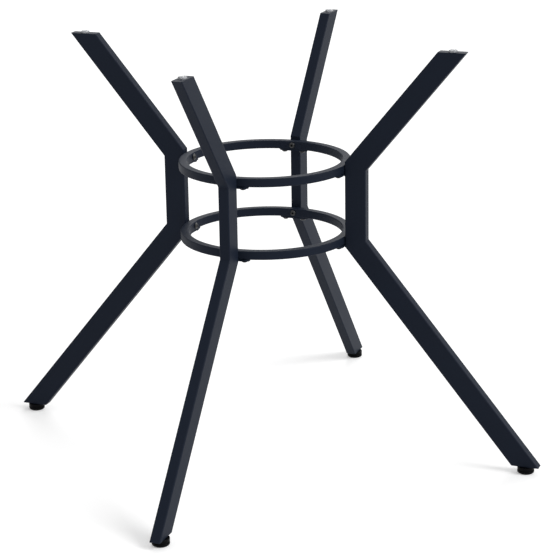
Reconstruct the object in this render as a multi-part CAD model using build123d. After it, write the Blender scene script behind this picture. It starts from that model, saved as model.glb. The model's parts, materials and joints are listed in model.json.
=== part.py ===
"""Dining table base: four cranked tube legs tied together by two rings, standing on levelling feet.

The frame is in millimetres with +Z up. The origin is on the floor, on the axis of the two rings.
The legs stand on the X and Y axes, so a leg is drawn once along +X and then turned into place.
"""

import os
from math import cos, radians, sin, sqrt, tan

from build123d import *

# Legs: name and heading of each, seen from above and counted from +X
leg_headings = {"right": 0, "back": 90, "left": 180, "front": 270}

# Height of the level-cut tops of the arms and of the lower legs' ends above the floor
frame_height = 736.0
leg_end_height = 13.0

# Leg tube: depth in the plane of the leg, thickness across it, wall and outer corner
tube_depth = 38.0
tube_thickness = 19.0
tube_wall = 1.5
tube_corner = 2.0

# Course of a leg: radius of the upright's centre line, heights of its bends, angles from the vertical
upright_radius = 171.0
upper_bend_height = 529.5
lower_bend_height = 390.0
arm_lean = 39.5
leg_splay = 39.5

# Rings: square tube with flattened corners, and the gap that each leaves to the bend beside it
ring_section = 15.0
ring_wall = 1.5
ring_corner = 1.2
upper_ring_gap = 6.0
lower_ring_gap = 4.5

# Bracket plate under the ring at each leg
bracket_length = 54.0
bracket_width = 15.0
bracket_plate = 3.0
bracket_chamfer = 5.0
bracket_screw_spacing = 34.0

# Button-head screws: radial ones join ring and leg, short ones join bracket and ring
screw_diameter = 6.0
screw_head_diameter = 10.5
screw_head_height = 3.3
screw_rim_height = 1.3
screw_crown_diameter = 6.4
socket_across_flats = 4.0
socket_depth = 2.0
short_screw_length = 10.0
radial_screw_grip = 9.0

# Blind rivet nut in the inner wall of the upright
rivet_nut_diameter = 8.8
rivet_nut_length = 13.0
rivet_nut_flange_diameter = 11.0
rivet_nut_flange = 0.5

# End plates of the arms and of the lower legs
top_plate = 3.0
foot_plate = 3.0
foot_plate_play = 0.2

# Weld nut on the foot plate
foot_nut_across_flats = 13.0
foot_nut_height = 6.5

# Levelling foot: moulded base with a groove round its middle, on a threaded stud
foot_diameter = 30.0
foot_sole_diameter = 25.0
foot_sole_height = 2.2
foot_groove_height = 5.8
foot_groove_width = 1.8
foot_groove_depth = 1.5
foot_top_chamfer = 1.0
foot_stop_gap = 0.3
stud_diameter = 8.0
stud_reach = 20.0
stud_head_across_flats = 13.0
stud_head_height = 5.0
stud_head_cover = 3.5

# Clear pad on the top plate
pad_diameter = 15.5
pad_height = 3.8
pad_edge = 1.8
pad_stem_diameter = 5.0
pad_stem_length = 7.0

# Clearances on the radius: a screw in its plain hole, in its thread, and a piece pushed into a hole
hole_clearance = 0.3
thread_clearance = 0.05
push_clearance = 0.1

# Radius of the upright's inner face, and of the ring that lies against the rivet nuts on it
inner_face_radius = upright_radius - tube_depth / 2
ring_outer_radius = inner_face_radius - rivet_nut_flange
ring_inner_radius = ring_outer_radius - ring_section
ring_middle_radius = ring_outer_radius - ring_section / 2

# Heights at which the inner edges of the bends lie, and the rings between them
upper_inner_bend = upper_bend_height + tube_depth / 2 * tan(radians(arm_lean / 2))
lower_inner_bend = lower_bend_height - tube_depth / 2 * tan(radians(leg_splay / 2))
ring_bottoms = {
    "upper": upper_inner_bend - upper_ring_gap - ring_section,
    "lower": lower_inner_bend + lower_ring_gap,
}

# Radius at which the centre lines of the arm and of the lower leg reach their level cuts
arm_top_radius = upright_radius + (frame_height - upper_bend_height) * tan(radians(arm_lean))
foot_radius = upright_radius + (lower_bend_height - leg_end_height) * tan(radians(leg_splay))

# Seat of a flat screw head inside the curved ring, and the screw's length from there
head_seat_radius = sqrt(ring_inner_radius**2 - (screw_head_diameter / 2) ** 2)
radial_screw_length = inner_face_radius - head_seat_radius + radial_screw_grip

foot_top_height = leg_end_height - foot_stop_gap


def on_leg(shape, heading):
    """Turns a shape drawn for the leg along +X to the leg with the given heading."""
    return shape.rotate(Axis.Z, heading)


def level_plane(height):
    """Level plane at a height."""
    return Plane(origin=(0, 0, height), x_dir=(1, 0, 0), z_dir=(0, 0, 1))


def bend_plane(height, lean_below, lean_above):
    """Mitre plane of a bend on the upright's centre line, facing up, between two leans in degrees."""
    tilt = radians((lean_below + lean_above) / 2)
    return Plane(
        origin=(upright_radius, 0, height),
        x_dir=(0, 1, 0),
        z_dir=(sin(tilt), 0, cos(tilt)),
    )


def long_bar(height, lean, inset):
    """Endless bar of the leg tube's section, less an inset all round, through a bend and leaning outwards."""
    direction = (sin(radians(lean)), 0, cos(radians(lean)))
    section_plane = Plane(origin=(upright_radius, 0, height), x_dir=(0, 1, 0), z_dir=direction)
    thickness = tube_thickness - 2 * inset
    depth = tube_depth - 2 * inset
    section = RectangleRounded(thickness, depth, tube_corner) if inset == 0 else Rectangle(thickness, depth)
    return extrude(section_plane * section, amount=2 * frame_height, both=True)


def long_tube(height, lean):
    """Endless hollow leg tube through a bend."""
    return long_bar(height, lean, 0) - long_bar(height, lean, tube_wall)


def between(shape, below, above):
    """The stretch of a bar between two planes that face up."""
    return shape.split(below, keep=Keep.TOP).split(above, keep=Keep.BOTTOM)


upper_mitre = bend_plane(upper_bend_height, 0, arm_lean)
lower_mitre = bend_plane(lower_bend_height, -leg_splay, 0)


def arm_tube():
    """Upper tube, from the upper bend to under its top plate."""
    return between(
        long_tube(upper_bend_height, arm_lean), upper_mitre, level_plane(frame_height - top_plate)
    )


def upright_tube():
    """Middle tube between the bends, with a hole for a rivet nut behind each ring."""
    tube = between(long_tube(upper_bend_height, 0), lower_mitre, upper_mitre)
    for bottom in ring_bottoms.values():
        tube -= radial_cylinder(
            bottom + ring_section / 2,
            rivet_nut_diameter / 2 + push_clearance,
            inner_face_radius - tube_wall,
            inner_face_radius + 2 * tube_wall,
        )
    return tube


def lower_tube():
    """Lower tube, from the lower bend to its level end above the foot."""
    return between(
        long_tube(lower_bend_height, -leg_splay), level_plane(leg_end_height), lower_mitre
    )


def top_end_plate():
    """Plate welded on the arm's level end and ground flush with it, with a hole for the pad's stem."""
    plate = between(
        long_bar(upper_bend_height, arm_lean, 0),
        level_plane(frame_height - top_plate),
        level_plane(frame_height),
    )
    return plate - upright_cylinder(
        arm_top_radius,
        pad_stem_diameter / 2 + push_clearance,
        frame_height - 2 * top_plate,
        frame_height + top_plate,
    )


def foot_end_plate():
    """Plate welded inside the lower leg's level end, with a hole for the stud."""
    plate = between(
        long_bar(lower_bend_height, -leg_splay, tube_wall + foot_plate_play),
        level_plane(leg_end_height),
        level_plane(leg_end_height + foot_plate),
    )
    return plate - upright_cylinder(
        foot_radius,
        stud_diameter / 2 + hole_clearance,
        0,
        leg_end_height + 2 * foot_plate,
    )


def foot_nut():
    """Hexagon weld nut on the foot plate."""
    bottom = leg_end_height + foot_plate
    hexagon = RegularPolygon(foot_nut_across_flats / 2, 6, major_radius=False)
    nut = Pos(foot_radius, 0, bottom) * extrude(hexagon, amount=foot_nut_height)
    bore_radius = stud_diameter / 2 + thread_clearance
    return nut - upright_cylinder(foot_radius, bore_radius, 0, bottom + 2 * foot_nut_height)


def upright_cylinder(radius_out, radius, bottom, top):
    """Cylinder along Z at a distance from the base's axis, on the leg along +X."""
    return Pos(radius_out, 0, bottom) * Cylinder(
        radius, top - bottom, align=(Align.CENTER, Align.CENTER, Align.MIN)
    )


def radial_cylinder(height, radius, start, end):
    """Cylinder along +X at a height, between two distances from the base's axis."""
    return Plane(origin=(start, 0, height), x_dir=(0, 1, 0), z_dir=(1, 0, 0)) * Cylinder(
        radius, end - start, align=(Align.CENTER, Align.CENTER, Align.MIN)
    )


def button_screw(length):
    """Button-head socket screw along +Z: its head's seat is at the origin and its shank points up."""
    head_radius = screw_head_diameter / 2
    head_outline = Polyline(
        (0, 0),
        (head_radius, 0),
        (head_radius, -screw_rim_height),
        (screw_crown_diameter / 2, -screw_head_height),
        (0, -screw_head_height),
        close=True,
    )
    head = revolve(Plane.XZ * make_face(head_outline), Axis.Z)
    socket = extrude(RegularPolygon(socket_across_flats / 2, 6, major_radius=False), amount=socket_depth)
    head -= Pos(0, 0, -screw_head_height) * socket
    shank = Cylinder(screw_diameter / 2, length, align=(Align.CENTER, Align.CENTER, Align.MIN))
    return head + shank


def screw_places(level):
    """Points under a bracket plate, on the leg along +X, where its two screws enter."""
    offset = bracket_screw_spacing / 2
    reach = sqrt(ring_middle_radius**2 - offset**2)
    return [(reach, side * offset, ring_bottoms[level] - bracket_plate) for side in (-1, 1)]


def ring(level):
    """Ring of square tube with holes for the radial screws and tapped holes for the bracket screws."""
    section = Plane.XZ * Pos(ring_middle_radius, ring_bottoms[level] + ring_section / 2)
    outside = section * chamfer(Rectangle(ring_section, ring_section).vertices(), ring_corner)
    inside = section * Rectangle(ring_section - 2 * ring_wall, ring_section - 2 * ring_wall)
    tube = revolve(outside - inside, Axis.Z)
    for heading in leg_headings.values():
        tube -= on_leg(ring_holes(level), heading)
    return tube


def ring_holes(level):
    """Holes through the ring at the leg along +X."""
    holes = radial_cylinder(
        ring_bottoms[level] + ring_section / 2,
        screw_diameter / 2 + hole_clearance,
        ring_inner_radius - ring_section,
        ring_outer_radius + ring_section,
    )
    for place in screw_places(level):
        tapped = Cylinder(
            screw_diameter / 2 + thread_clearance, 2 * bracket_plate + 2 * ring_wall
        )
        holes += Pos(place[0], place[1], ring_bottoms[level]) * tapped
    return holes


def bracket(level):
    """Plate welded to the upright's inner face under a ring, with corners cut off and two screw holes."""
    outline = Rectangle(bracket_width, bracket_length, align=(Align.MAX, Align.CENTER))
    outline = chamfer(outline.vertices(), bracket_chamfer)
    plate = extrude(outline, amount=bracket_plate)
    plate = Pos(inner_face_radius, 0, ring_bottoms[level] - bracket_plate) * plate
    for place in screw_places(level):
        plate -= Pos(*place) * Cylinder(screw_diameter / 2 + hole_clearance, 4 * bracket_plate)
    return plate


def bracket_screws(level):
    """The two screws of a bracket on the leg along +X."""
    return [Pos(*place) * button_screw(short_screw_length) for place in screw_places(level)]


def radial_screw(level):
    """Screw from inside the ring into the rivet nut, on the leg along +X."""
    seat = Plane(
        origin=(head_seat_radius, 0, ring_bottoms[level] + ring_section / 2),
        x_dir=(0, 1, 0),
        z_dir=(1, 0, 0),
    )
    return seat * button_screw(radial_screw_length)


def rivet_nut(level):
    """Blind rivet nut in the inner wall of the upright on the leg along +X."""
    height = ring_bottoms[level] + ring_section / 2
    flange = radial_cylinder(
        height, rivet_nut_flange_diameter / 2, ring_outer_radius, inner_face_radius
    )
    body = radial_cylinder(
        height, rivet_nut_diameter / 2, ring_outer_radius, inner_face_radius + rivet_nut_length
    )
    bore = radial_cylinder(
        height,
        screw_diameter / 2 + thread_clearance,
        ring_outer_radius - rivet_nut_flange,
        inner_face_radius + 2 * rivet_nut_length,
    )
    return flange + body - bore


def levelling_foot():
    """Moulded base of a foot: tapered sole, two rims with a groove between, pocket for the stud's head."""
    radius = foot_diameter / 2
    groove_radius = radius - foot_groove_depth
    groove_top = foot_groove_height + foot_groove_width
    outline = Polyline(
        (0, 0),
        (foot_sole_diameter / 2, 0),
        (radius, foot_sole_height),
        (radius, foot_groove_height),
        (groove_radius, foot_groove_height),
        (groove_radius, groove_top),
        (radius, groove_top),
        (radius, foot_top_height - foot_top_chamfer),
        (radius - foot_top_chamfer, foot_top_height),
        (0, foot_top_height),
        close=True,
    )
    base = revolve(Plane.XZ * make_face(outline), Axis.Z)
    pocket = extrude(
        RegularPolygon(stud_head_across_flats / 2, 6, major_radius=False), amount=stud_head_height
    )
    base -= Pos(0, 0, stud_head_cover) * pocket
    base -= upright_cylinder(0, stud_diameter / 2 + thread_clearance, stud_head_cover, leg_end_height)
    return Pos(foot_radius, 0, 0) * base


def levelling_stud():
    """Threaded stud with a hexagon head that is held in the foot's base."""
    head = extrude(
        RegularPolygon(stud_head_across_flats / 2, 6, major_radius=False), amount=stud_head_height
    )
    head = Pos(foot_radius, 0, stud_head_cover) * head
    shank = upright_cylinder(
        foot_radius, stud_diameter / 2, stud_head_cover, leg_end_height + stud_reach
    )
    return head + shank


def clear_pad():
    """Round pad with a bevelled upper edge, on a stem that is pushed through the top plate."""
    pad = upright_cylinder(arm_top_radius, pad_diameter / 2, frame_height, frame_height + pad_height)
    pad = chamfer(pad.edges().group_by(Axis.Z)[-1], pad_edge)
    stem = upright_cylinder(
        arm_top_radius, pad_stem_diameter / 2, frame_height - pad_stem_length, frame_height
    )
    return pad + stem


def write(name, shapes):
    """Writes one piece, or a group of like pieces, as one STEP file."""
    for shape in shapes:
        shape.label = name
    piece = shapes[0] if len(shapes) == 1 else Compound(children=shapes)
    piece.label = name
    export_step(piece, os.path.join("parts", name + ".step"))


os.makedirs("parts", exist_ok=True)

leg_pieces = {
    "arm_tube": arm_tube(),
    "upright_tube": upright_tube(),
    "lower_tube": lower_tube(),
    "top_plate": top_end_plate(),
    "foot_plate": foot_end_plate(),
    "upper_bracket": bracket("upper"),
    "lower_bracket": bracket("lower"),
    "levelling_foot": levelling_foot(),
    "levelling_stud": levelling_stud(),
    "clear_pad": clear_pad(),
}
for leg, heading in leg_headings.items():
    for piece_name, piece in leg_pieces.items():
        write(f"{leg}_{piece_name}", [on_leg(piece, heading)])

for level in ring_bottoms:
    write(f"{level}_ring", [ring(level)])

fastener_groups = {"foot_nuts": [foot_nut()]}
for level in ring_bottoms:
    fastener_groups[f"{level}_ring_screws"] = [radial_screw(level)]
    fastener_groups[f"{level}_rivet_nuts"] = [rivet_nut(level)]
    fastener_groups[f"{level}_bracket_screws"] = bracket_screws(level)
for group, fasteners in fastener_groups.items():
    write(group, [on_leg(each, turn) for turn in leg_headings.values() for each in fasteners])
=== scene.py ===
# %% [markdown]
# # A dining table base of mitred steel tube
#
# The real object is a welded steel base. Four cranked legs carry a loose table top, two rings of
# square tube hold the legs together, and the whole stands on four levelling feet.
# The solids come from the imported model, which fixes every size and place.
# This lesson gives the solids their finishes, remakes the small turned and repeated pieces with
# finer shapes, and sets up the light and the camera.

import json
from math import cos, pi, radians, sin, sqrt

import bpy
from mathutils import Matrix, Vector


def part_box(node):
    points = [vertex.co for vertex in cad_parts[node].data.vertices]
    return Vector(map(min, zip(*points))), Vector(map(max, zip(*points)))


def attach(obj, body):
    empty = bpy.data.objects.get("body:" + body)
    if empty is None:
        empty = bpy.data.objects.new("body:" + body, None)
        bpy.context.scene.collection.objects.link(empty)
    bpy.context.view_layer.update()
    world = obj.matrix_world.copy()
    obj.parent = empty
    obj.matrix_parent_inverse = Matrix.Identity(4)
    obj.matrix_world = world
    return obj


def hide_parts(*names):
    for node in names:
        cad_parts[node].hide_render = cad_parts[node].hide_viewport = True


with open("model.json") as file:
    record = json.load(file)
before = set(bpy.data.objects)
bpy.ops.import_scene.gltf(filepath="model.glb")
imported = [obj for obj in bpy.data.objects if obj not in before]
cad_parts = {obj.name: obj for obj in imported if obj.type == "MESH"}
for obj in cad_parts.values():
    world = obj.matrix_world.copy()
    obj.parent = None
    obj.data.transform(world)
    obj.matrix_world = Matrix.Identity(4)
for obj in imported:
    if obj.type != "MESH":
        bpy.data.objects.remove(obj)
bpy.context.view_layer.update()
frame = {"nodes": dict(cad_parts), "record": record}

# %% [markdown]
# ## Reading sizes from the frame
#
# Each new piece has to sit where its solid sits. Instead of typing places again, the script reads
# them from the boxes of the nodes. The legs stand on the X and Y axes, so the box of one leg's node
# gives the distance from the axis, and a turn about Z gives the other three legs.

# %% Measure the frame
millimetre = 0.001
legs = {"right": 0, "back": 90, "left": 180, "front": 270}
levels = ("upper", "lower")


def node_span(node, axis):
    """Lowest and highest value of a node's box along one axis."""
    low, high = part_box(node)
    return low[axis], high[axis]


def node_middle(node, axis):
    """Middle of a node's box along one axis."""
    low, high = node_span(node, axis)
    return (low + high) / 2


def node_half(node, axis):
    """Half the width of a node's box along one axis."""
    low, high = node_span(node, axis)
    return (high - low) / 2


def on_leg(radius, across, height, heading):
    """Point on a leg, from its distance to the axis, its offset across the leg and its height."""
    return Matrix.Rotation(radians(heading), 3, "Z") @ Vector((radius, across, height))


ring_outer_radius = node_span("upper_ring", 0)[1]
ring_bottom = {level: node_span(f"{level}_ring", 2)[0] for level in levels}
ring_section = node_span("upper_ring", 2)[1] - ring_bottom["upper"]
ring_inner_radius = ring_outer_radius - ring_section
ring_middle_radius = ring_outer_radius - ring_section / 2
inner_face_radius = node_span("right_upright_tube", 0)[0]
tube_half_thickness = node_span("right_upright_tube", 1)[1]
foot_distance = node_middle("right_levelling_foot", 0)
pad_distance = node_middle("right_clear_pad", 0)
print(f"ring of {ring_section / millimetre:.1f} mm tube, feet {foot_distance:.3f} m from the axis")

# %% [markdown]
# ## The camera
#
# The photograph is square and was taken with a long lens from well above the table top's height.
# The viewing direction, distance and focal length were worked out by laying the solids' outline over
# the photograph. A camera could be aimed with a Track To constraint, but that leaves out the small
# roll of the photograph, so this one is built from its three axes.

# %% Camera
photo_width_px = 560
focal_length_px = 1898.6
sensor_width_mm = 36.0
view_heading = radians(21.356)
view_elevation = radians(17.163)
view_roll = radians(-0.911)
camera_distance = 3.4049
aim_sideways = 0.02362
aim_height = 0.30535

level_right = Vector((cos(view_heading), sin(view_heading), 0))
level_forward = Vector((-sin(view_heading), cos(view_heading), 0))
forward = level_forward * cos(view_elevation) - Vector((0, 0, sin(view_elevation)))
level_up = level_right.cross(forward)
camera_right = level_right * cos(view_roll) + level_up * sin(view_roll)
camera_up = level_up * cos(view_roll) - level_right * sin(view_roll)
aim = level_right * aim_sideways + Vector((0, 0, aim_height))

camera_data = bpy.data.cameras.new("photo_camera")
camera_data.sensor_fit = "HORIZONTAL"
camera_data.sensor_width = sensor_width_mm
camera_data.lens = focal_length_px / photo_width_px * sensor_width_mm
camera = bpy.data.objects.new("photo_camera", camera_data)
camera_axes = Matrix((camera_right, camera_up, -forward)).transposed().to_4x4()
camera.matrix_world = Matrix.Translation(aim - forward * camera_distance) @ camera_axes
bpy.context.collection.objects.link(camera)
bpy.context.scene.camera = camera
bpy.context.scene.view_settings.view_transform = "Standard"
print(f"lens {camera_data.lens:.1f} mm at {camera_distance:.2f} m")

# %% [markdown]
# ## Adding nodes
#
# Floor, finishes and Geometry Nodes are all node trees. A small helper adds one node, sets its
# options and fills its inputs with plain values or with the output of another node. With it a tree
# reads like a list of steps, and the same helper serves shaders and geometry.

# %% Node helpers


def add_node(tree, kind, options=None, entries=None, output=0):
    """Adds a node: options are its own settings, entries its inputs. Returns one of its outputs, if any."""
    node = tree.nodes.new(kind)
    for option, value in (options or {}).items():
        setattr(node, option, value)
    for entry, value in (entries or {}).items():
        if isinstance(value, bpy.types.NodeSocket):
            tree.links.new(value, node.inputs[entry])
        else:
            node.inputs[entry].default_value = value
    return node.outputs[output] if node.outputs else node


def maths(tree, operation, first, second=0.0, third=0.0):
    """Math node whose inputs are each a socket or a number."""
    return add_node(tree, "ShaderNodeMath", {"operation": operation}, {0: first, 1: second, 2: third})


def new_tree(name, kind, inputs, outputs):
    """Empty node group. Returns it with its inputs and outputs, which are read by name."""
    tree = bpy.data.node_groups.new(name, kind)
    for label, socket in inputs.items():
        tree.interface.new_socket(label, in_out="INPUT", socket_type=f"NodeSocket{socket}")
    for label, socket in outputs.items():
        tree.interface.new_socket(label, in_out="OUTPUT", socket_type=f"NodeSocket{socket}")
    return tree, tree.nodes.new("NodeGroupInput").outputs, tree.nodes.new("NodeGroupOutput").inputs


print("helpers:", add_node.__name__, maths.__name__, new_tree.__name__)

# %% [markdown]
# ## Floor, background and light
#
# The photograph has a white background. The floor is a pale matt plane that keeps the base's shadow.
# Camera and mirror rays also see it glow a little, so its unshaded part reaches white without more
# light on the object. The world is a soft grey dome for lighting, and white where it is seen directly.

# %% Floor and world
floor_half = 12.0
floor_colour = (0.80, 0.80, 0.80, 1)
floor_glow = 0.30
dome_colour = (1, 1, 1, 1)
dome_level = 0.55
seen_dome_level = 1.0


def seen_directly(tree):
    """Value that is 1 for camera, mirror and see-through rays and 0 for the rays that carry light."""
    path = tree.nodes.new("ShaderNodeLightPath")
    seen = maths(tree, "MAXIMUM", path.outputs["Is Camera Ray"], path.outputs["Is Glossy Ray"])
    return maths(tree, "MAXIMUM", seen, path.outputs["Is Transmission Ray"])


def floor_material():
    """Pale matt floor that glows a little where it is seen directly."""
    material = bpy.data.materials.new("studio_floor")
    material.use_nodes = True
    tree = material.node_tree
    tree.nodes.clear()
    matt = add_node(tree, "ShaderNodeBsdfDiffuse", entries={"Color": floor_colour})
    strength = maths(tree, "MULTIPLY", seen_directly(tree), floor_glow)
    glow = add_node(tree, "ShaderNodeEmission", entries={"Strength": strength})
    both = add_node(tree, "ShaderNodeAddShader", entries={0: matt, 1: glow})
    add_node(tree, "ShaderNodeOutputMaterial", entries={"Surface": both})
    return material


floor_mesh = bpy.data.meshes.new("studio_floor")
floor_corners = [(x * floor_half, y * floor_half, 0) for x, y in ((-1, -1), (1, -1), (1, 1), (-1, 1))]
floor_mesh.from_pydata(floor_corners, [], [range(len(floor_corners))])
floor_mesh.materials.append(floor_material())
floor = bpy.data.objects.new("studio_floor", floor_mesh)
bpy.context.collection.objects.link(floor)

world = bpy.data.worlds.new("studio_dome")
world.use_nodes = True
sky = world.node_tree
sky.nodes.clear()
bpy.context.scene.world = world
dome_strength = add_node(
    sky,
    "ShaderNodeMapRange",
    entries={"Value": seen_directly(sky), "To Min": dome_level, "To Max": seen_dome_level},
)
dome = add_node(sky, "ShaderNodeBackground", entries={"Color": dome_colour, "Strength": dome_strength})
add_node(sky, "ShaderNodeOutputWorld", entries={"Surface": dome})
print("floor", 2 * floor_half, "m wide, dome at", dome_level)

# %% [markdown]
# ## Two soft lamps
#
# In the photograph the faces that look right are lighter than those that look at the camera, and the
# level faces are the lightest. A main lamp from the right and a weaker one from behind give that order.
# Area lamps would leave a bright pool on the floor, and the background would turn grey around it.
# Sun lamps light the whole floor evenly, and a wide disc keeps their shadows soft.

# %% Lamps


def soft_lamp(name, heading, elevation, spread, strength):
    """Sun lamp with a wide disc. Its heading is counted clockwise from the camera's view direction."""
    turn, rise = radians(heading), radians(elevation)
    level = level_forward * cos(turn) + level_right * sin(turn)
    towards_lamp = level * cos(rise) + Vector((0, 0, sin(rise)))
    data = bpy.data.lights.new(name, "SUN")
    data.angle = radians(spread)
    data.energy = strength
    lamp = bpy.data.objects.new(name, data)
    lamp.rotation_euler = towards_lamp.to_track_quat("Z", "Y").to_euler()
    bpy.context.collection.objects.link(lamp)
    return lamp


lamps = [
    soft_lamp("lamp_right", heading=111, elevation=37, spread=32, strength=2.0),
    soft_lamp("lamp_behind", heading=12, elevation=38, spread=32, strength=0.9),
]
print("lamps:", [lamp.name for lamp in lamps])

# %% [markdown]
# ## A surface grain for the dark finishes and the zinc
#
# Powder coat, black oxide, zinc and moulded plastic all have a fine texture: tiny soft bumps, and a
# little unevenness in gloss and tone. An image of noise would blur close up, so the texture is one
# shader node group made of two noises, a fine grain and slow clouds. Each material places it with its
# own sizes and strengths. Only colours and values leave the group; the shader stays in the material.

# %% Surface grain group
grain_detail = 3.0
noise_middle = 0.5


def grain_group():
    """Fine surface grain: tone, roughness and height that change over the surface."""
    tree, size, leave = new_tree(
        "surface_grain",
        "ShaderNodeTree",
        {
            "Tone": "Color",
            "Tone Spread": "Float",
            "Roughness": "Float",
            "Roughness Spread": "Float",
            "Grain per Metre": "Float",
            "Clouds per Metre": "Float",
        },
        {"Tone": "Color", "Roughness": "Float", "Height": "Float"},
    )
    place = add_node(tree, "ShaderNodeTexCoord", output="Object")
    grain, clouds = (
        add_node(
            tree,
            "ShaderNodeTexNoise",
            entries={"Vector": place, "Scale": size[label], "Detail": grain_detail},
        )
        for label in ("Grain per Metre", "Clouds per Metre")
    )
    swing = maths(tree, "SUBTRACT", maths(tree, "ADD", grain, clouds), 2 * noise_middle)
    gain = maths(tree, "MULTIPLY_ADD", swing, size["Tone Spread"], 1.0)
    tone = add_node(
        tree, "ShaderNodeVectorMath", {"operation": "SCALE"}, {0: size["Tone"], "Scale": gain}
    )
    rough = maths(tree, "MULTIPLY_ADD", swing, size["Roughness Spread"], size["Roughness"])
    for label, value in {"Tone": tone, "Roughness": rough, "Height": grain}.items():
        tree.links.new(value, leave[label])
    return tree


surface_grain = grain_group()
print("group:", surface_grain.name, "with", len(surface_grain.nodes), "nodes")

# %% [markdown]
# ## The five finishes
#
# The tubes and rings have a satin black powder coat with a blue cast. Screws are black oxide, hidden
# studs and nuts are zinc plated, the feet are moulded black plastic and the pads are clear.
# The dark finishes and the zinc differ in tone, gloss and grain, and take all three from the group.

# %% Material helpers
pad_tone = (0.74, 0.76, 0.80, 1)
pad_clearness = 0.65
pad_ior = 1.48
pad_haze_per_metre = 350.0
pad_roughness_low, pad_roughness_high = 0.15, 0.28


def grained_material(name, tone, roughness, grain, bump, specular=0.5, metallic=0.0):
    """Principled material with surface grain.

    Tone, roughness and grain are each a value with its spread (for grain: fine and slow noise per metre).
    Bump is the strength and depth of the relief.
    """
    material = bpy.data.materials.new(name)
    material.use_nodes = True
    tree = material.node_tree
    shader = tree.nodes["Principled BSDF"]
    shader.inputs["Specular IOR Level"].default_value = specular
    shader.inputs["Metallic"].default_value = metallic
    group = tree.nodes.new("ShaderNodeGroup")
    group.node_tree = surface_grain
    colour, tone_spread = tone
    for entry, value in zip(group.inputs, ((*colour, 1), tone_spread, *roughness, *grain)):
        entry.default_value = value
    tree.links.new(group.outputs["Tone"], shader.inputs["Base Color"])
    tree.links.new(group.outputs["Roughness"], shader.inputs["Roughness"])
    strength, depth = bump
    relief = add_node(
        tree,
        "ShaderNodeBump",
        entries={"Strength": strength, "Distance": depth, "Height": group.outputs["Height"]},
    )
    tree.links.new(relief, shader.inputs["Normal"])
    return material


def clear_material(name):
    """Clear soft plastic with a faint cloudiness in its gloss."""
    material = bpy.data.materials.new(name)
    material.use_nodes = True
    tree = material.node_tree
    shader = tree.nodes["Principled BSDF"]
    shader.inputs["Base Color"].default_value = pad_tone
    shader.inputs["Transmission Weight"].default_value = pad_clearness
    shader.inputs["IOR"].default_value = pad_ior
    place = add_node(tree, "ShaderNodeTexCoord", output="Object")
    haze = add_node(tree, "ShaderNodeTexNoise", entries={"Vector": place, "Scale": pad_haze_per_metre})
    gloss = add_node(
        tree,
        "ShaderNodeMapRange",
        entries={"Value": haze, "To Min": pad_roughness_low, "To Max": pad_roughness_high},
    )
    tree.links.new(gloss, shader.inputs["Roughness"])
    return material


print("helpers:", grained_material.__name__, clear_material.__name__)

# %% Materials
grained_finishes = {
    "powder_coat": {
        "tone": ((0.0080, 0.0120, 0.0220), 0.25),
        "roughness": (0.50, 0.10),
        "grain": (1100, 9),
        "bump": (0.35, 0.06 * millimetre),
        "specular": 0.08,
    },
    "screw_black": {
        "tone": ((0.0018, 0.0022, 0.0030), 0.3),
        "roughness": (0.34, 0.12),
        "grain": (1600, 60),
        "bump": (0.2, 0.03 * millimetre),
        "specular": 0.50,
    },
    "zinc_steel": {
        "tone": ((0.52, 0.54, 0.57), 0.15),
        "roughness": (0.36, 0.12),
        "grain": (1400, 45),
        "bump": (0.15, 0.03 * millimetre),
        "metallic": 1.0,
    },
    "foot_plastic": {
        "tone": ((0.0012, 0.0014, 0.0020), 0.2),
        "roughness": (0.26, 0.08),
        "grain": (2200, 30),
        "bump": (0.2, 0.03 * millimetre),
        "specular": 0.06,
    },
}
finishes = {name: grained_material(name, **values) for name, values in grained_finishes.items()}
finishes["clear_pad"] = clear_material("clear_pad")
print("finishes:", list(finishes))

# %% [markdown]
# ## Finishes on the solids
#
# The record says which material slot each node uses, so a short loop dresses every solid.
# The tubes, plates, brackets and nuts stay as they are, because their shapes are already right.
# The pieces that follow replace their solids, apart from the weld beads, which have none.

# %% Dress the solids
dressed = 0
for part in frame["record"]["subparts"]:
    for slot in frame["nodes"][part["node"]].material_slots:
        slot.material = finishes[part["material_slot"]]
        dressed += 1
print("dressed solids:", dressed)

# %% [markdown]
# ## Growing pieces with Geometry Nodes
#
# Rings, screws, weld beads and threads all follow a path or repeat, so Geometry Nodes grow them.
# A tree has named inputs for its sizes. Its modifier runs once on a mesh of seed points or lines, and
# the result is kept as a plain mesh, because an exported model can't hold instances.
# A weighted-normal modifier keeps flat faces flat beside their small round edges.

# %% Growing helpers
crease_angle = radians(38)


def geometry_tree(name, sizes):
    """Geometry Nodes tree with a geometry input, sizes of the given kinds and a finish."""
    inputs = {"Geometry": "Geometry", **sizes, "Finish": "Material"}
    return new_tree(name, "GeometryNodeTree", inputs, {"Geometry": "Geometry"})


def end_tree(tree, size, leave, shape):
    """Ends a tree: smooth faces with creases, plain geometry instead of instances, and the finish."""
    smooth = add_node(tree, "GeometryNodeSetShadeSmooth", entries={"Geometry": shape})
    bend = add_node(tree, "GeometryNodeInputMeshEdgeAngle")
    sharp = maths(tree, "GREATER_THAN", bend, crease_angle)
    creased = add_node(
        tree,
        "GeometryNodeSetShadeSmooth",
        {"domain": "EDGE"},
        {"Geometry": smooth, "Selection": sharp, "Shade Smooth": False},
    )
    plain = add_node(tree, "GeometryNodeRealizeInstances", entries={"Geometry": creased})
    finished = add_node(
        tree, "GeometryNodeSetMaterial", entries={"Geometry": plain, "Material": size["Finish"]}
    )
    tree.links.new(finished, leave["Geometry"])


def plain_mesh(maker):
    """Runs an object's modifiers once, keeps the result as its mesh and removes the modifiers."""
    normals = maker.modifiers.new("even_normals", "WEIGHTED_NORMAL")
    normals.keep_sharp = True
    bpy.context.collection.objects.link(maker)
    evaluated = maker.evaluated_get(bpy.context.evaluated_depsgraph_get())
    mesh = bpy.data.meshes.new_from_object(evaluated)
    maker.modifiers.clear()
    maker.data = mesh
    return maker


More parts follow.
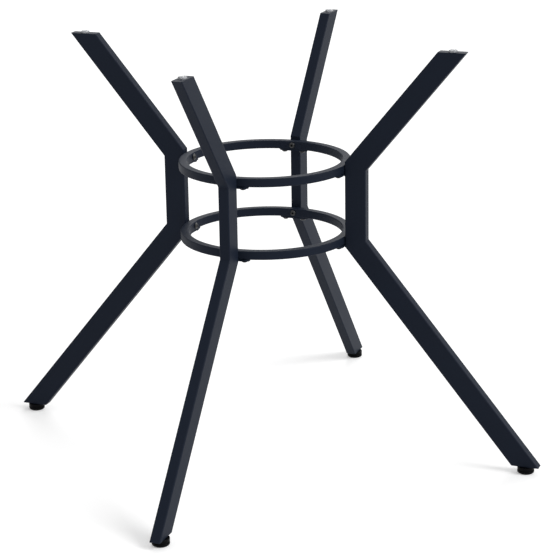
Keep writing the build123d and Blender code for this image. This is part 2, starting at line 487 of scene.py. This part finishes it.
def grow(name, tree, seeds, finish, sizes):
    """New piece that a tree grows from a mesh of seeds."""
    maker = bpy.data.objects.new(name, seeds)
    modifier = maker.modifiers.new("grow", "NODES")
    modifier.node_group = tree
    values = {**sizes, "Finish": finishes[finish]}
    for item in tree.interface.items_tree:
        if item.in_out == "INPUT" and item.name in values:
            modifier[item.identifier] = values[item.name]
    return plain_mesh(maker)


def seed_mesh(name, points, edges=()):
    """Mesh of loose points, or of lines between them, for a tree to grow from."""
    mesh = bpy.data.meshes.new(name)
    mesh.from_pydata(points, edges, [])
    return mesh


def settle(piece, body, finish, *nodes):
    """Lets a piece ride on its body and hides the solids that it stands for. Its finish is not used."""
    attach(piece, body)
    if nodes:
        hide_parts(*nodes)
    print(f"{piece.name}: {len(piece.data.polygons)} faces on {body}")


print("pieces crease at", round(crease_angle, 2), "radians")

# %% [markdown]
# ## Shapes in a tree
#
# The trees share a few steps: circles, sweeps, moved, turned and joined shapes. Each could be written
# out where it is used, but a tree of forty nodes is easier to follow when every step has a name.

# %% Shape helpers
turn_steps = 48
hexagon_sides = 6


def minus(tree, value):
    """A value with its sign changed."""
    return maths(tree, "MULTIPLY", value, -1.0)


def half(tree, value):
    """Half of a value."""
    return maths(tree, "MULTIPLY", value, 0.5)


def at(tree, x, y, z=0.0):
    """Vector made from three numbers or sockets."""
    return add_node(tree, "ShaderNodeCombineXYZ", entries={"X": x, "Y": y, "Z": z})


def circle(tree, steps, radius):
    """Circle about Z, or a polygon if it has few steps."""
    return add_node(
        tree, "GeometryNodeCurvePrimitiveCircle", entries={"Resolution": steps, "Radius": radius}
    )


def swept(tree, path, section, thickness=None):
    """A section swept along a path. With a thickness it swells and thins, and its ends are closed."""
    entries = {"Curve": path, "Profile Curve": section}
    if thickness is not None:
        entries.update({"Scale": thickness, "Fill Caps": True})
    return add_node(tree, "GeometryNodeCurveToMesh", entries=entries)


def faded_ends(tree, share, slope):
    """Value that climbs from 0 at both ends of a path and is 1 between, from the share of the way along."""
    from_ends = maths(tree, "MULTIPLY", share, maths(tree, "SUBTRACT", 1.0, share))
    return maths(tree, "MINIMUM", maths(tree, "MULTIPLY", from_ends, slope), 1.0)


def joined(tree, shapes):
    """All shapes as one geometry."""
    join = tree.nodes.new("GeometryNodeJoinGeometry")
    for shape in shapes:
        tree.links.new(shape, join.inputs[0])
    return join.outputs[0]


def raised(tree, shape, height):
    """A shape moved along Z."""
    return add_node(
        tree, "GeometryNodeSetPosition", entries={"Geometry": shape, "Offset": at(tree, 0.0, 0.0, height)}
    )


def flipped(tree, shape):
    """A shape with its faces turned round."""
    return add_node(tree, "GeometryNodeFlipFaces", entries={"Mesh": shape})


def on_seeds(tree, size, shape, **turns):
    """A shape at each seed point."""
    entries = {"Points": size["Geometry"], "Instance": shape, **turns}
    return add_node(tree, "GeometryNodeInstanceOnPoints", entries=entries)


print("turned shapes have", turn_steps, "steps")

# %% [markdown]
# ## The rings
#
# A ring is square tube rolled to a circle and welded end to end, so its corners are rounded all the
# way round. A torus with four sides would have sharp corners. Here a square with filleted corners
# is swept along a circle, and each ring grows from one seed point at its height.

# %% Rings
ring_corner_radius = 1.9 * millimetre
ring_corner_steps = 6
ring_steps = 256


def ring_tree():
    """Square tube with round corners, swept round a circle at each seed point."""
    tree, size, leave = geometry_tree(
        "tube_ring", {"Middle Radius": "Float", "Section": "Float", "Corner Radius": "Float"}
    )
    square = add_node(
        tree,
        "GeometryNodeCurvePrimitiveQuadrilateral",
        entries={"Width": size["Section"], "Height": size["Section"]},
    )
    rounded = add_node(
        tree,
        "GeometryNodeFilletCurve",
        {"mode": "POLY"},
        {"Curve": square, "Count": ring_corner_steps, "Radius": size["Corner Radius"]},
    )
    tube = swept(tree, circle(tree, ring_steps, size["Middle Radius"]), rounded)
    end_tree(tree, size, leave, on_seeds(tree, size, tube))
    return tree


tube_ring = ring_tree()
for level in levels:
    centre = (0, 0, ring_bottom[level] + ring_section / 2)
    ring = grow(
        f"{level}_rolled_ring",
        tube_ring,
        seed_mesh(f"{level}_rolled_ring", [centre]),
        "powder_coat",
        {"Middle Radius": ring_middle_radius, "Section": ring_section, "Corner Radius": ring_corner_radius},
    )
    settle(ring, "frame", "powder_coat", f"{level}_ring")

# %% [markdown]
# ## Button-head screws
#
# Each crossing of ring and leg has one screw through the ring into the leg, and two more under the
# bracket. A button head is a low dome with a hexagon socket. The dome and shank are an outline
# turned round the screw's axis. The crown is a disc filled between a circle and a hexagon. The
# socket's walls are that hexagon drawn inwards, down to the cone that the drill left. A flat floor
# would mirror the sky, and the cone keeps the socket dark, as on the real screw. Seed points carry
# the direction of their shank, and each socket gets its own turn, because nobody lines up their screws.

# %% Screw shapes
dome_steps = 7
dome_bulge = 0.75
# The Mix node has several inputs with the same name, so the two for numbers are given by place.
mix_first, mix_second = 2, 3


def between(tree, first, second, share):
    """Value a share of the way from the first value to the second."""
    return add_node(tree, "ShaderNodeMix", entries={"Factor": share, mix_first: first, mix_second: second})


def turned(tree, path, path_radius, outline):
    """Strips of a shape of revolution about Z, from an outline of radius and height, and its last corner.

    A sweep lays its profile outwards along X and down along Y, from the path, which is a circle.
    """
    corners = [
        at(tree, maths(tree, "SUBTRACT", radius, path_radius), minus(tree, height))
        for radius, height in outline
    ]
    strips = [
        add_node(tree, "GeometryNodeCurvePrimitiveLine", entries={"Start": start, "End": end})
        for start, end in zip(corners, corners[1:])
    ]
    return [swept(tree, path, strip) for strip in strips], corners[-1]


def screw_outside(tree, size):
    """Shank, rim and dome of a screw. The shank points up and the head is below."""
    head, rim, shank = size["Head Radius"], size["Rim Height"], size["Shank Radius"]
    path = circle(tree, turn_steps, head)
    strips, dome_start = turned(
        tree,
        path,
        head,
        [
            (0.0, size["Shank Length"]),
            (shank, size["Shank Length"]),
            (shank, 0.0),
            (head, 0.0),
            (head, minus(tree, rim)),
        ],
    )
    reach = maths(tree, "SUBTRACT", size["Crown Radius"], head)
    bend = at(
        tree,
        maths(tree, "MULTIPLY", reach, 1 - dome_bulge),
        between(tree, rim, size["Head Height"], dome_bulge),
    )
    dome = add_node(
        tree,
        "GeometryNodeCurveQuadraticBezier",
        entries={
            "Resolution": dome_steps,
            "Start": dome_start,
            "Middle": bend,
            "End": at(tree, reach, size["Head Height"]),
        },
    )
    return [*strips, swept(tree, path, dome)]


def screw_socket(tree, size):
    """Crown face with its hexagon socket and the drill's cone at the socket's end."""
    crown = circle(tree, turn_steps, size["Crown Radius"])
    hexagon = circle(tree, hexagon_sides, size["Socket Radius"])
    face = add_node(tree, "GeometryNodeFillCurve", entries={"Curve": joined(tree, [crown, hexagon])})
    depth_line = add_node(
        tree,
        "GeometryNodeCurvePrimitiveLine",
        entries={"End": at(tree, 0.0, minus(tree, size["Socket Depth"]))},
    )
    walls = swept(tree, hexagon, depth_line)
    drill_point = add_node(
        tree,
        "GeometryNodeMeshCone",
        {"fill_type": "NONE"},
        {
            "Vertices": hexagon_sides,
            "Radius Top": 0.0,
            "Radius Bottom": size["Socket Radius"],
            "Depth": size["Drill Point"],
        },
    )
    point = raised(tree, flipped(tree, drill_point), size["Socket Depth"])
    return joined(tree, [flipped(tree, face), walls, point])


print("a screw's dome has", dome_steps, "steps")

# %% Screw tree
seam_distance = 0.005 * millimetre
# The same holds for the Random Value node's highest number and for the number it gives.
random_highest, random_value = 3, 1


def screw_turn(tree, size):
    """Rotation that lays a screw along its point's shank_axis and turns it about that by chance."""
    shank_axis = add_node(
        tree, "GeometryNodeInputNamedAttribute", {"data_type": "FLOAT_VECTOR"}, {"Name": "shank_axis"}
    )
    aligned = add_node(
        tree, "FunctionNodeAlignRotationToVector", {"axis": "Z"}, {"Vector": shank_axis}
    )
    chance = add_node(
        tree,
        "FunctionNodeRandomValue",
        entries={random_highest: 2 * pi / hexagon_sides, "Seed": size["Seed"]},
        output=random_value,
    )
    twist = add_node(tree, "FunctionNodeAxisAngleToRotation", entries={"Angle": chance})
    return add_node(
        tree,
        "FunctionNodeRotateRotation",
        {"rotation_space": "LOCAL"},
        {"Rotation": aligned, "Rotate By": twist},
    )


def screw_tree():
    """Button-head screw with a hexagon socket at each seed point."""
    tree, size, leave = geometry_tree(
        "button_screws",
        {
            "Head Radius": "Float",
            "Head Height": "Float",
            "Rim Height": "Float",
            "Crown Radius": "Float",
            "Socket Radius": "Float",
            "Socket Depth": "Float",
            "Drill Point": "Float",
            "Shank Radius": "Float",
            "Shank Length": "Float",
            "Seed": "Int",
        },
    )
    outside = screw_outside(tree, size)
    socket = raised(tree, screw_socket(tree, size), minus(tree, size["Head Height"]))
    screw = add_node(
        tree,
        "GeometryNodeMergeByDistance",
        entries={"Geometry": joined(tree, [*outside, socket]), "Distance": seam_distance},
    )
    end_tree(tree, size, leave, on_seeds(tree, size, screw, Rotation=screw_turn(tree, size)))
    return tree


button_screws = screw_tree()
print("screw tree:", len(button_screws.nodes), "nodes")

# %% Screws in place
socket_across_flats = 4.0 * millimetre
plate_bottom = {level: node_span(f"right_{level}_bracket", 2)[0] for level in levels}
screw_head_radius = node_half("upper_ring_screws", 2)
screw_head_height = plate_bottom["upper"] - node_span("upper_bracket_screws", 2)[0]
head_seat_radius = sqrt(ring_inner_radius**2 - screw_head_radius**2)
bracket_reach = node_span("upper_bracket_screws", 0)[1] - screw_head_radius
bracket_offset = sqrt(ring_middle_radius**2 - bracket_reach**2)
screw_sizes = {
    "Head Radius": screw_head_radius,
    "Head Height": screw_head_height,
    "Rim Height": 1.3 * millimetre,
    "Crown Radius": 3.2 * millimetre,
    "Socket Radius": socket_across_flats / sqrt(3),
    "Socket Depth": 2.4 * millimetre,
    "Drill Point": 2.0 * millimetre,
    "Shank Radius": 3.0 * millimetre,
}


def screw_seeds(name, seats):
    """Seed points with the direction of each shank, from pairs of seat and direction."""
    mesh = seed_mesh(name, [seat for seat, axis in seats])
    axes = mesh.attributes.new("shank_axis", "FLOAT_VECTOR", "POINT")
    axes.data.foreach_set("vector", [value for seat, axis in seats for value in axis])
    return mesh


ring_seats = [
    (on_leg(head_seat_radius, 0, ring_bottom[level] + ring_section / 2, heading), on_leg(1, 0, 0, heading))
    for level in levels
    for heading in legs.values()
]
bracket_seats = [
    (on_leg(bracket_reach, side * bracket_offset, plate_bottom[level], heading), Vector((0, 0, 1)))
    for level in levels
    for heading in legs.values()
    for side in (-1, 1)
]
shank_lengths = {
    "ring": node_span("upper_ring_screws", 0)[1] - head_seat_radius,
    "bracket": node_span("upper_bracket_screws", 2)[1] - plate_bottom["upper"],
}
for seed, (place, seats) in enumerate({"ring": ring_seats, "bracket": bracket_seats}.items()):
    name = f"{place}_button_screws"
    screws = grow(
        name,
        button_screws,
        screw_seeds(name, seats),
        "screw_black",
        {**screw_sizes, "Shank Length": shank_lengths[place], "Seed": seed},
    )
    settle(screws, "frame", "screw_black", *(f"{level}_{place}_screws" for level in levels))

# %% [markdown]
# ## Weld beads under the brackets
#
# Each bracket plate is welded to the upright that it touches, in the corner under the plate, and the
# powder coat covers the bead. A plain cylinder would look like a rod laid in the corner. A bead is a
# row of frozen ripples, so the sweep's thickness swells with each ripple, wanders a little with a
# seeded noise and dies away at both ends.

# %% Weld beads
bead_margin = 1.0 * millimetre
bead_steps = 72
bead_sides = 20
bead_wander_per_metre = 320.0
bead_end_slope = 9.0
bead_sizes = {
    "Radius": 2.0 * millimetre,
    "Ripple Pitch": 1.7 * millimetre,
    "Ripple Share": 0.12,
    "Seed": 4.0,
}


def bead_tree():
    """Rippled weld bead along each seed line."""
    tree, size, leave = geometry_tree("weld_beads", dict.fromkeys(bead_sizes, "Float"))
    lines = add_node(tree, "GeometryNodeMeshToCurve", entries={"Mesh": size["Geometry"]})
    path = add_node(tree, "GeometryNodeResampleCurve", entries={"Curve": lines, "Count": bead_steps})
    along = tree.nodes.new("GeometryNodeSplineParameter").outputs
    phase = maths(tree, "DIVIDE", along["Length"], size["Ripple Pitch"])
    ripple = maths(tree, "SINE", maths(tree, "MULTIPLY", phase, 2 * pi))
    wander = add_node(
        tree,
        "ShaderNodeTexNoise",
        {"noise_dimensions": "4D"},
        {"W": size["Seed"], "Scale": bead_wander_per_metre},
    )
    swing = maths(tree, "MULTIPLY", maths(tree, "ADD", ripple, wander), size["Ripple Share"])
    fade = maths(tree, "SQRT", faded_ends(tree, along["Factor"], bead_end_slope))
    thickness = maths(tree, "MULTIPLY", maths(tree, "ADD", swing, 1.0), fade)
    bead = swept(tree, path, circle(tree, bead_sides, size["Radius"]), thickness)
    end_tree(tree, size, leave, bead)
    return tree


bead_reach = tube_half_thickness - bead_margin
bead_ends = [
    on_leg(inner_face_radius, side * bead_reach, plate_bottom[level], heading)
    for level in levels
    for heading in legs.values()
    for side in (-1, 1)
]
bead_lines = [(first, first + 1) for first in range(0, len(bead_ends), 2)]
beads = grow(
    "bracket_weld_beads",
    bead_tree(),
    seed_mesh("bracket_weld_beads", bead_ends, bead_lines),
    "powder_coat",
    bead_sizes,
)
settle(beads, "frame", "powder_coat")

# %% [markdown]
# ## Turned feet
#
# A levelling foot is a round plastic moulding: a sole that narrows to the floor, two rims with a
# groove between them, and a pocket inside that holds the head of the stud. A mesh cylinder with
# bevels would round every edge alike. Here an outline is drawn with a rounding for each corner and
# spun round the foot's axis, as on a lathe.

# %% Turning helpers
corner_steps = 5
spin_steps = 72


def soft_outline(corners):
    """Outline through corners of radius, height and rounding, with each corner drawn as a curve."""
    points = [Vector(corners[0][:2])]
    for before, corner, after in zip(corners, corners[1:], corners[2:]):
        middle, rounding = Vector(corner[:2]), corner[2]
        start = middle + (Vector(before[:2]) - middle).normalized() * rounding
        end = middle + (Vector(after[:2]) - middle).normalized() * rounding
        steps = corner_steps if rounding > 0 else 0
        for step in range(steps + 1):
            share = step / max(steps, 1)
            points.append(start.lerp(middle, share).lerp(middle.lerp(end, share), share))
    points.append(Vector(corners[-1][:2]))
    return points


def spun_piece(name, outline, centre, finish):
    """Piece made by spinning an outline of radius and height about an upright axis.

    The outline leaves the axis, keeps the piece on its left and comes back to the axis.
    """
    turns = [2 * pi * step / spin_steps for step in range(spin_steps)]
    points, loops = [], []
    for radius, height in outline:
        around = turns if radius > 0 else turns[:1]
        loops.append(range(len(points), len(points) + len(around)))
        points += [centre + Vector((radius * cos(turn), radius * sin(turn), height)) for turn in around]
    faces = []
    for low, high in zip(loops, loops[1:]):
        for step in range(spin_steps):
            corners = ((low, step), (low, step + 1), (high, step + 1), (high, step))
            faces.append(list(dict.fromkeys(loop[place % len(loop)] for loop, place in corners)))
    mesh = bpy.data.meshes.new(name)
    mesh.from_pydata(points, [], faces)
    mesh.materials.append(finishes[finish])
    mesh.shade_smooth()
    mesh.set_sharp_from_angle(angle=crease_angle)
    return plain_mesh(bpy.data.objects.new(name, mesh))


print("spun pieces have", spin_steps, "steps")

# %% Levelling feet
foot_top = node_span("right_levelling_foot", 2)[1]
foot_radius = node_half("right_levelling_foot", 0)
sole_radius = 12.5 * millimetre
sole_height = 2.2 * millimetre
groove_bottom, groove_top = 5.8 * millimetre, 7.6 * millimetre
groove_depth = 1.5 * millimetre
groove_radius = foot_radius - groove_depth
bore_radius = 4.1 * millimetre
pocket_radius = 7.6 * millimetre
pocket_bottom, pocket_top = 3.4 * millimetre, 8.6 * millimetre
small_round = 0.35 * millimetre
lip_round = 0.9 * millimetre
large_round = 1.0 * millimetre
foot_corners = [
    (0, 0, 0),
    (sole_radius, 0, large_round),
    (foot_radius, sole_height, large_round),
    (foot_radius, groove_bottom, lip_round),
    (groove_radius, groove_bottom, small_round),
    (groove_radius, groove_top, small_round),
    (foot_radius, groove_top, small_round),
    (foot_radius, foot_top, large_round),
    (bore_radius, foot_top, small_round),
    (bore_radius, pocket_top, 0),
    (pocket_radius, pocket_top, 0),
    (pocket_radius, pocket_bottom, 0),
    (0, pocket_bottom, 0),
]
for leg, heading in legs.items():
    foot_place = on_leg(foot_distance, 0, 0, heading)
    foot = spun_piece(f"{leg}_foot_moulding", soft_outline(foot_corners), foot_place, "foot_plastic")
    settle(foot, f"{leg}_foot", "foot_plastic", f"{leg}_levelling_foot")

# %% [markdown]
# ## Threaded studs
#
# A stud screws into the nut inside the leg, and its thread shows when the foot is let out. A screw
# modifier could turn the thread, but it leaves open ends. Here a pointed section is swept along a
# right-hand spiral round a core, and it thins to nothing at both ends, as a rolled thread runs out.

# %% Stud tree
thread_steps = 32
thread_foot_share = 0.47
thread_tip_share = 0.07
thread_run_out_slope = 40.0
root_depth = 0.05 * millimetre


def thread_ridge(tree, size):
    """Section of the thread, which points outwards and is sunk a little into the core."""
    foot_half = maths(tree, "MULTIPLY", size["Pitch"], thread_foot_share)
    tip_half = maths(tree, "MULTIPLY", size["Pitch"], thread_tip_share)
    tip = maths(tree, "SUBTRACT", size["Thread Radius"], size["Core Radius"])
    return add_node(
        tree,
        "GeometryNodeCurvePrimitiveQuadrilateral",
        {"mode": "POINTS"},
        {
            "Point 1": at(tree, -root_depth, minus(tree, foot_half)),
            "Point 2": at(tree, tip, minus(tree, tip_half)),
            "Point 3": at(tree, tip, tip_half),
            "Point 4": at(tree, -root_depth, foot_half),
        },
    )


def stud_thread(tree, size):
    """Thread from its start to half a pitch under the stud's top, with its first turn at height 0."""
    room = maths(tree, "SUBTRACT", size["Top"], size["Thread Start"])
    length = maths(tree, "SUBTRACT", room, half(tree, size["Pitch"]))
    spiral = add_node(
        tree,
        "GeometryNodeCurveSpiral",
        entries={
            "Resolution": thread_steps,
            "Rotations": maths(tree, "DIVIDE", length, size["Pitch"]),
            "Start Radius": size["Core Radius"],
            "End Radius": size["Core Radius"],
            "Height": length,
            "Reverse": True,
        },
    )
    path = add_node(tree, "GeometryNodeSetCurveNormal", {"mode": "Z_UP"}, {"Curve": spiral})
    share = tree.nodes.new("GeometryNodeSplineParameter").outputs["Factor"]
    run_out = faded_ends(tree, share, thread_run_out_slope)
    return swept(tree, path, thread_ridge(tree, size), run_out)


def stud_tree():
    """Threaded stud with a hexagon head, at each seed point."""
    tree, size, leave = geometry_tree(
        "threaded_stud",
        {
            "Core Radius": "Float",
            "Thread Radius": "Float",
            "Pitch": "Float",
            "Bottom": "Float",
            "Top": "Float",
            "Thread Start": "Float",
            "Head Radius": "Float",
            "Head Height": "Float",
        },
    )
    length = maths(tree, "SUBTRACT", size["Top"], size["Bottom"])
    core = add_node(
        tree,
        "GeometryNodeMeshCylinder",
        entries={"Vertices": turn_steps, "Radius": size["Core Radius"], "Depth": length},
    )
    head = add_node(
        tree,
        "GeometryNodeMeshCylinder",
        entries={"Vertices": hexagon_sides, "Radius": size["Head Radius"], "Depth": size["Head Height"]},
    )
    core_middle = half(tree, maths(tree, "ADD", size["Top"], size["Bottom"]))
    head_middle = maths(tree, "ADD", size["Bottom"], half(tree, size["Head Height"]))
    stud = joined(
        tree,
        [
            raised(tree, core, core_middle),
            raised(tree, head, head_middle),
            raised(tree, stud_thread(tree, size), size["Thread Start"]),
        ],
    )
    end_tree(tree, size, leave, on_seeds(tree, size, stud))
    return tree


threaded_stud = stud_tree()
print("stud tree:", len(threaded_stud.nodes), "nodes")

# %% Studs in place
stud_bottom, stud_top = node_span("right_levelling_stud", 2)
thread_pitch = 1.25 * millimetre
stud_head_across_flats = 13.0 * millimetre
stud_sizes = {
    "Core Radius": 3.35 * millimetre,
    "Thread Radius": 4.0 * millimetre,
    "Pitch": thread_pitch,
    "Bottom": stud_bottom,
    "Top": stud_top,
    "Thread Start": pocket_top + thread_pitch,
    "Head Radius": stud_head_across_flats / sqrt(3),
    "Head Height": 5.0 * millimetre,
}
for leg, heading in legs.items():
    name = f"{leg}_threaded_stud"
    seeds = seed_mesh(name, [on_leg(foot_distance, 0, 0, heading)])
    stud = grow(name, threaded_stud, seeds, "zinc_steel", stud_sizes)
    settle(stud, f"{leg}_foot", "zinc_steel", f"{leg}_levelling_stud")

# %% [markdown]
# ## Clear pads
#
# A soft clear pad lies on each arm's top plate, so that a glass or wooden top doesn't slide. Its stem
# is pushed into the plate. It is turned from an outline like the feet, with a wide soft rounding on
# its upper edge, which catches the light.

# %% Pads
plate_top = node_span("right_top_plate", 2)[1]
stem_bottom, pad_top = node_span("right_clear_pad", 2)
pad_radius = node_half("right_clear_pad", 0)
stem_radius = 2.5 * millimetre
pad_round = 3.0 * millimetre
pad_corners = [
    (0, stem_bottom, 0),
    (stem_radius, stem_bottom, small_round),
    (stem_radius, plate_top, 0),
    (pad_radius, plate_top, small_round),
    (pad_radius, pad_top, pad_round),
    (0, pad_top, 0),
]
for leg, heading in legs.items():
    pad_place = on_leg(pad_distance, 0, 0, heading)
    pad = spun_piece(f"{leg}_soft_pad", soft_outline(pad_corners), pad_place, "clear_pad")
    settle(pad, "frame", "clear_pad", f"{leg}_clear_pad")
